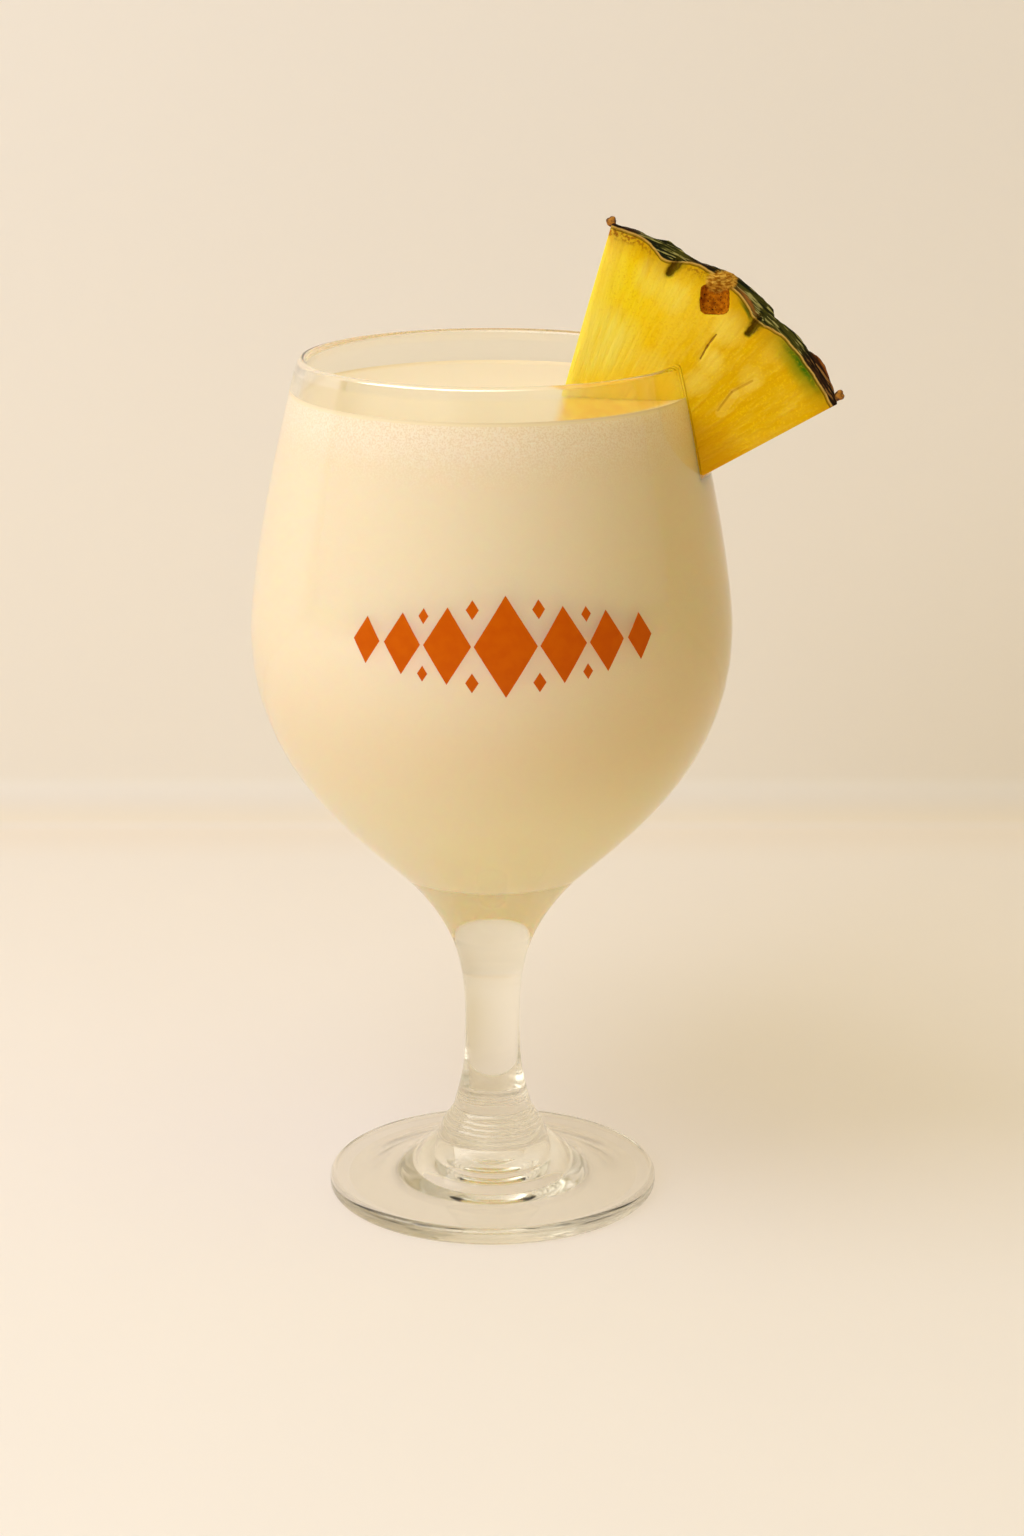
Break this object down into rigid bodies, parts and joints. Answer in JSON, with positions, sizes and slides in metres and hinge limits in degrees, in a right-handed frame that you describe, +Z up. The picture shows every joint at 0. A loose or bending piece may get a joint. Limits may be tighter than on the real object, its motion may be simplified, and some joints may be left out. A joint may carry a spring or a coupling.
{
  "type": "pina colada",
  "caption": "Stemmed goblet filled with a pale creamy mixed drink, with a wedge of fresh pineapple slotted over its rim as a garnish.",
  "frame": {"origin": "on the surface that the goblet stands on, under the middle of the whole object's bounding box; the goblet's own axis is at x = -0.0096 m", "axes": "+Z up along the goblet's axis, +X towards the side where the pineapple wedge hangs over the rim, -Y towards the front, which the print and the wedge's open face look to"},
  "size_m": [0.1106, 0.0914, 0.1912],
  "materials": {
    "glass": "clear polished pressed glass with a faint warm tint",
    "drink": "opaque pale cream liquid, smooth, with very fine froth near its top",
    "pineapple": "moist yellow fruit with pale fibres, and a ridged dark green and brown rind"
  },
  "bodies": {
    "root": {"glass": "glass", "drink": "drink", "pineapple_wedge": "pineapple"}
  },
  "joints": []
}
